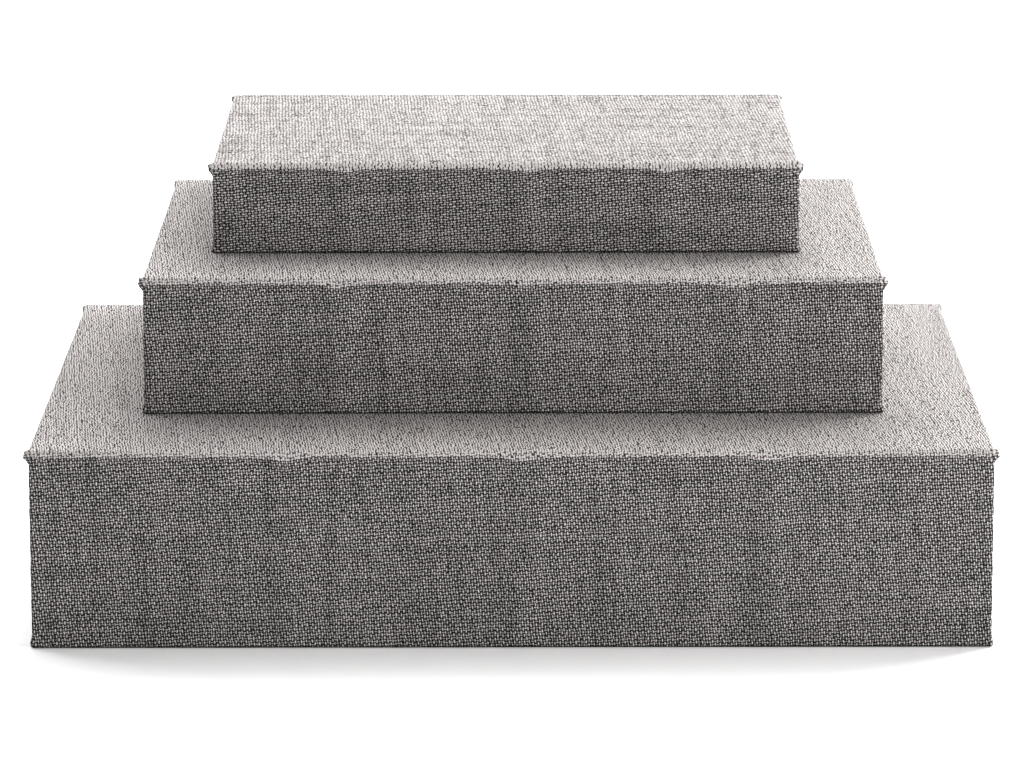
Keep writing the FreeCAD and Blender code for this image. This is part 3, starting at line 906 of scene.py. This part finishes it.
def linen_material(name, turned):
    """Coarse plain-weave linen in mixed greys, thread by thread.

    Where it hangs upright the weave is painted darker, with deeper dark holes between its
    threads: painted shade for the light that falls from above. Along the rolled edge it is
    painted lighter, a painted highlight. Turned takes the numbers of the small box, where the
    cloth is turned by a quarter.
    """
    material, tree, shader = start_material(name, 0.9, 0.15)
    vector = cloth_vector(tree)
    across, up, painted_shade = split_vector(tree, vector)
    # Painted shade: 0 on flat tops and 1 on upright faces, which take the darker upright numbers;
    # above 1, painted shade in the bottom fold.
    painted_upright_shade = painted_shade.math("MINIMUM", 1.0)
    fold_shade = (painted_shade - 1.0).highest(0.0)
    # Bent peaks where the cloth is half turned, along the rolled edge and the folds; there the
    # weave changes shape and is painted lighter, a painted highlight.
    bent = painted_upright_shade * (1 - painted_upright_shade) * 4

    def number(key):
        """One of the weave's numbers, between lying flat and hanging."""
        hanging, *lying = WEAVE[key]
        return painted_upright_shade.blend(lying[turned], hanging)

    def noises(first, second, third, detail=1.0):
        """Two noises over three numbers, which tell one kind of unevenness from another."""
        return noise_fields(tree, join_vector(tree, first, second, third), 1.0, detail)

    # The weave is a little skewed, and its threads wander. The uneven factors here and below
    # keep the chance numbers of neighbouring crossings and threads apart.
    drift_across, drift_up = noise_fields(tree, vector, 0.05)
    sway_across, sway_up = noise_fields(tree, vector, 0.4)
    skewed_across = across + up * WARP_SKEW + drift_across * 1.2
    skewed_up = up - across * WEFT_SKEW + drift_up * 1.2
    column = (skewed_across + sway_across * 0.75) / WARP_PITCH
    row = (skewed_up + sway_up * 0.9) / WEFT_PITCH
    warp, weft = column.floor(), row.floor()
    crossing = warp * 57.31 + weft * 131.77
    nudge_warp, nudge_weft, crown_size = chance_fields(tree, crossing)
    nudge = number("nudge")
    off_warp = column - warp - 0.5 + nudge_warp * nudge
    off_weft = row - weft - 0.5 + nudge_weft * nudge

    # Each thread's own place and thickness, and how they change along it.
    warp_place, warp_size, warp_tone = chance_fields(tree, warp)
    weft_place, weft_size, weft_tone = chance_fields(tree, weft + 5000.5)
    along_warp, shade_warp = noises(warp * 3.71, up * 0.25, 3.0)
    along_weft, shade_weft = noises(across * 0.25, weft * 3.71, 47.0)
    stray_warp, dash_warp = noises(warp * 5.3, up * 0.42, 71.0)
    stray_weft, dash_weft = noises(across * 0.42, weft * 5.3, 83.0)
    stray, soft = number("stray"), number("soft")
    warp_width = 1 + bent * 0.2 + warp_size * 0.2 + along_warp * 0.5 + crown_size * 0.35
    weft_width = 1 + weft_size * 0.2 + along_weft * 0.5 + crown_size * 0.35
    off_warp = off_warp + warp_place * 0.1 + stray_warp * stray
    off_weft = off_weft + weft_place * 0.1 + stray_weft * stray
    over_warp = off_warp.math("ABSOLUTE") / (number("half_warp") * warp_width)
    over_weft = off_weft.math("ABSOLUTE") / (number("half_weft") * weft_width)
    warp_round = 1 - over_warp.step(soft, 1.0)
    weft_round = 1 - over_weft.step(soft, 1.0)

    # Each thread rises over the one it crosses and dives under the next.
    warp_mid = number("warp_mid") - bent * 0.25
    weft_mid = number("weft_mid")
    warp_rise = warp_mid + (1 - warp_mid) * (row - 0.5 + warp).wave()
    weft_rise = weft_mid - (1 - weft_mid) * (column - 0.5 + weft).wave()
    weft_height = weft_round * weft_rise * number("weft_lift")
    height = (warp_round * warp_rise).highest(weft_height).highest(0.0)

    # Fibres run along the threads, and each crossing shows its own mix of them.
    crown_tone, rare, _ = chance_fields(tree, crossing + 0.37)
    parity = (warp + weft).math("FLOORED_MODULO", 2.0)
    warp_fibre, _ = noises(across * 5.0, up * 1.2, 9.0)
    weft_fibre, _ = noises(across * 1.2, up * 5.0, 5.0)
    fibre = parity.blend(warp_fibre, weft_fibre)

    # Groups of threads, and short lengths of single ones, are darker.
    band_warp, _ = noises(across * 0.22, up * 0.012, 1.0, 2.0)
    band_weft, mottle = noises(across * 0.03, up * 0.2, 2.0, 2.0)
    slubs = shade_warp.step(0.17, 0.22) * 0.3
    specks = rare.above(0.44) * number("specks") * (1 - bent)
    dashes = (dash_warp + dash_weft) * (number("dashes") * (1 - bent))
    tone = number("tone") + warp_tone * 0.1 + weft_tone * 0.05
    # Painted highlight: the tone is raised where the cloth is half turned, along the rolled edge.
    tone = tone + (shade_warp + shade_weft) * 0.4 + dashes + bent * 1.1
    tone = tone + fibre * 0.25 + crown_tone * number("mixed") - specks - slubs
    tone = tone + band_warp * 1.2 + band_weft * 0.75 + mottle * 0.2
    # Painted shade: darker where the cloth turns under in the fold at the bottom.
    tone = tone.highest(0.05) * (1 - fold_shade * 0.8)
    # Painted shade: each thread is darker where it lies low, nearly black in the holes between
    # threads.
    depth = height.math("POWER", number("depth") - bent * 0.8)
    value = (tone * (0.01 + depth * 0.99)).math("MINIMUM", 0.95)
    add_colour(tree, shader, value, LINEN_TINT)
    feed(tree, shader.inputs["Roughness"], 0.95 - tone * 0.1)
    add_bump(tree, shader, height + fibre * 0.15, WEAVE_RELIEF)
    return material


def paper_material(name, tone, tint, grain, contrast, depth, roughness=0.85):
    """Paper or card: pulp fibres, soft clouds and scattered darker flecks."""
    material, tree, shader = start_material(name, roughness, 0.25)
    vector = object_vector(tree)
    cloud, wide = noise_fields(tree, vector, grain * 0.06, 3.0, 0.6)
    fibre, fleck = noise_fields(tree, vector, grain, 4.0, 0.65)
    flecks = fleck.step(0.16, 0.24)
    value = tone * (1 + cloud * contrast + wide * contrast * 0.5 + fibre * contrast * 0.8)
    value = value - flecks * (tone * contrast * 1.5)
    add_colour(tree, shader, value, tint)
    feed(tree, shader.inputs["Roughness"], roughness + fibre * 0.12)
    add_bump(tree, shader, fibre + cloud * 0.5, depth)
    return material


def ribbon_material(name, tone, tint, pitch, depth):
    """Ribbed ribbon: ribs across its width and fine warp along it."""
    material, tree, shader = start_material(name, 0.7, 0.3)
    vector = cloth_vector(tree)
    across, along, _ = split_vector(tree, vector)
    sway, mottle = noise_fields(tree, vector, 0.5)
    rib = (along + sway * 0.08) / pitch
    number = rib.floor()
    lift = (rib - number - 0.5).wave()
    chance, size, _ = chance_fields(tree, number)
    thread = (across / 0.22).math("PINGPONG", 0.5) * 2
    # Painted shade: the ribs' crests are lighter and the grooves between them darker, besides the
    # bump.
    value = tone * (0.45 + lift * 0.75 + chance * 0.16 + mottle * 0.2 + thread * 0.16)
    add_colour(tree, shader, value, tint)
    feed(tree, shader.inputs["Roughness"], 0.72 - lift * 0.1 + size * 0.05)
    shader.inputs["Sheen Weight"].default_value = 0.2
    add_bump(tree, shader, lift + thread * 0.2, depth)
    return material


def tape_material(name, tone, tint):
    """Flat cotton tape: a fine twill over the object's own coordinates."""
    material, tree, shader = start_material(name, 0.9, 0.15)
    vector = object_vector(tree)
    across, _, up = split_vector(tree, vector)
    slant = ((across + up) * 1400.0).math("PINGPONG", 0.5) * 2
    fine, _ = noise_fields(tree, vector, 900.0, 2.0)
    value = tone * (0.75 + slant * 0.3 + fine * 0.3)
    add_colour(tree, shader, value, tint)
    add_bump(tree, shader, slant + fine * 0.4, 0.05)
    return material


def dress_nodes(materials):
    """Give each node of the frame that stays in sight its material."""
    endings = {
        "_board": "greyboard",
        "_wall": "greyboard",
        "_base_card": "base_card",
        "_lining": "lining_paper",
        "_floor_pad": "floor_pad",
        "_spine_bands": "band_tape",
        "_corner_stays": "stay_tape",
    }
    for name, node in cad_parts.items():
        for ending, key in endings.items():
            if name.endswith(ending):
                node.data.materials.clear()
                node.data.materials.append(materials[key])


def seen_directly(tree):
    """1 for rays from the camera, also mirrored or through glass, and 0 for all others."""
    rays = tree.nodes.new("ShaderNodeLightPath")
    seen = Field(tree, rays.outputs["Is Camera Ray"])
    seen = seen + Field(tree, rays.outputs["Is Glossy Ray"])
    return seen.math("ADD", Field(tree, rays.outputs["Is Transmission Ray"]), clamp=True)


# The even light, the floor's own white, the white that it is seen with, half its width, and
# the distances from the middle between which its shadows fade to white.
AMBIENT = 0.11
FLOOR_WHITE = 0.92
FLOOR_SEEN = 2.25
FLOOR_HALF = 30.0
FLOOR_FADE = (0.45, 1.2)


def add_floor():
    """A white floor that shows the stack's shadow."""
    mesh = bpy.data.meshes.new("floor")
    half = FLOOR_HALF
    corners = [(-half, -half, 0), (half, -half, 0), (half, half, 0), (-half, half, 0)]
    mesh.from_pydata(corners, [], [(0, 1, 2, 3)])
    floor = bpy.data.objects.new("floor", mesh)
    bpy.context.scene.collection.objects.link(floor)
    material = bpy.data.materials.new("floor")
    material.use_nodes = True
    tree = material.node_tree
    tree.nodes.remove(tree.nodes["Principled BSDF"])
    seen = seen_directly(tree)
    paper = tree.nodes.new("ShaderNodeBsdfDiffuse")
    white = seen.blend(FLOOR_WHITE, FLOOR_SEEN)
    tree.links.new(join_vector(tree, white, white, white), paper.inputs["Color"])
    across, deep, _ = split_vector(tree, object_vector(tree))
    away = (across * across + deep * deep).math("SQRT")
    glow = tree.nodes.new("ShaderNodeEmission")
    feed(tree, glow.inputs["Strength"], seen * away.step(*FLOOR_FADE))
    total = tree.nodes.new("ShaderNodeAddShader")
    tree.links.new(paper.outputs["BSDF"], total.inputs[0])
    tree.links.new(glow.outputs["Emission"], total.inputs[1])
    tree.links.new(total.outputs["Shader"], tree.nodes["Material Output"].inputs["Surface"])
    mesh.materials.append(material)


def add_world():
    """Even light from all round, white where it is seen directly."""
    world = bpy.data.worlds.new("studio")
    bpy.context.scene.world = world
    world.use_nodes = True
    tree = world.node_tree
    background = tree.nodes["Background"]
    background.inputs["Color"].default_value = (1, 1, 1, 1)
    feed(tree, background.inputs["Strength"], seen_directly(tree).blend(AMBIENT, 1.0))


def add_lamp(name, place, aim, width, depth, power):
    """A soft rectangular lamp that looks at a point."""
    lamp = bpy.data.lights.new(name, "AREA")
    lamp.shape = "RECTANGLE"
    lamp.size = width
    lamp.size_y = depth
    lamp.energy = power
    holder = bpy.data.objects.new(name, lamp)
    bpy.context.scene.collection.objects.link(holder)
    holder.location = place
    look = Vector(aim) - Vector(place)
    holder.rotation_mode = "QUATERNION"
    holder.rotation_quaternion = look.to_track_quat("-Z", "Y")


# The photograph's camera: its place, its angles in degrees, its focal length and the picture's
# width in pixels, and the width of its film in millimetres.
CAMERA_PLACE = (0.0030, -1.8773, 0.4842)
PITCH_YAW_ROLL = (12.57, -0.09, -0.11)
FOCAL_PIXELS = 5285.0
WIDTH_PIXELS = 1024
FILM_WIDTH = 36.0


def add_camera():
    """The photograph's camera: a long lens, a little above the stack, looking down on it."""
    pitch, yaw, roll = (math.radians(angle) for angle in PITCH_YAW_ROLL)
    ahead = Vector(
        (math.sin(yaw) * math.cos(pitch), math.cos(yaw) * math.cos(pitch), -math.sin(pitch))
    )
    level = Vector((math.cos(yaw), -math.sin(yaw), 0))
    upward = level.cross(ahead)
    right = math.cos(roll) * level + math.sin(roll) * upward
    up = math.cos(roll) * upward - math.sin(roll) * level
    data = bpy.data.cameras.new("camera")
    data.sensor_width = FILM_WIDTH
    data.lens = FOCAL_PIXELS / WIDTH_PIXELS * FILM_WIDTH
    data.clip_start = 0.05
    data.clip_end = 100.0
    camera = bpy.data.objects.new("camera", data)
    bpy.context.scene.collection.objects.link(camera)
    turn = Matrix((right, up, -ahead)).transposed().to_4x4()
    camera.matrix_world = Matrix.Translation(CAMERA_PLACE) @ turn
    bpy.context.scene.camera = camera


add_camera()
materials = {
    "linen": linen_material("linen", turned=False),
    "turned_linen": linen_material("turned_linen", turned=True),
    "greyboard": paper_material("greyboard", 0.42, (1.0, 0.98, 0.92), 260.0, 0.35, 0.06, 0.9),
    "lining_paper": paper_material("lining_paper", 0.76, (1.0, 0.975, 0.945), 420.0, 0.1, 0.03),
    "floor_pad": paper_material("floor_pad", 0.7, (1.0, 0.972, 0.94), 420.0, 0.14, 0.05),
    "base_card": paper_material("base_card", 0.3, (1.0, 0.97, 0.94), 380.0, 0.18, 0.03, 0.75),
    "stay_tape": paper_material("stay_tape", 0.55, (1.0, 0.77, 0.52), 300.0, 0.25, 0.03, 0.6),
    "band_tape": tape_material("band_tape", 0.6, (1.0, 0.97, 0.9)),
    "ribbon": ribbon_material("ribbon", 0.3, (1.0, 0.97, 0.95), 0.62, 0.12),
}
for box_size in SIZES:
    linen = materials["turned_linen" if box_size == "small" else "linen"]
    sleeve_cover(box_size, linen)
    panel_cover(box_size, linen)
    drawer_cover(box_size, linen)
    pull_ribbon(box_size, materials["ribbon"])
dress_nodes(materials)

add_floor()
add_world()
add_lamp("back", (0.05, 1.55, 1.22), (0.0, 0.0, 0.08), 0.9, 0.9, 24.0)
add_lamp("right", (1.24, 1.04, 1.22), (0.0, 0.0, 0.08), 1.1, 1.0, 21.0)
add_lamp("left", (-1.0, 0.7, 1.3), (0.0, 0.0, 0.08), 0.8, 0.8, 6.0)
add_lamp("overhead", (0.11, 0.45, 1.5), (0.0, 0.0, 0.08), 1.6, 1.0, 6.0)
add_lamp("front", (1.75, -1.22, 0.46), (0.0, 0.0, 0.06), 0.8, 0.6, 29.0)
bpy.context.scene.view_settings.view_transform = "Standard"
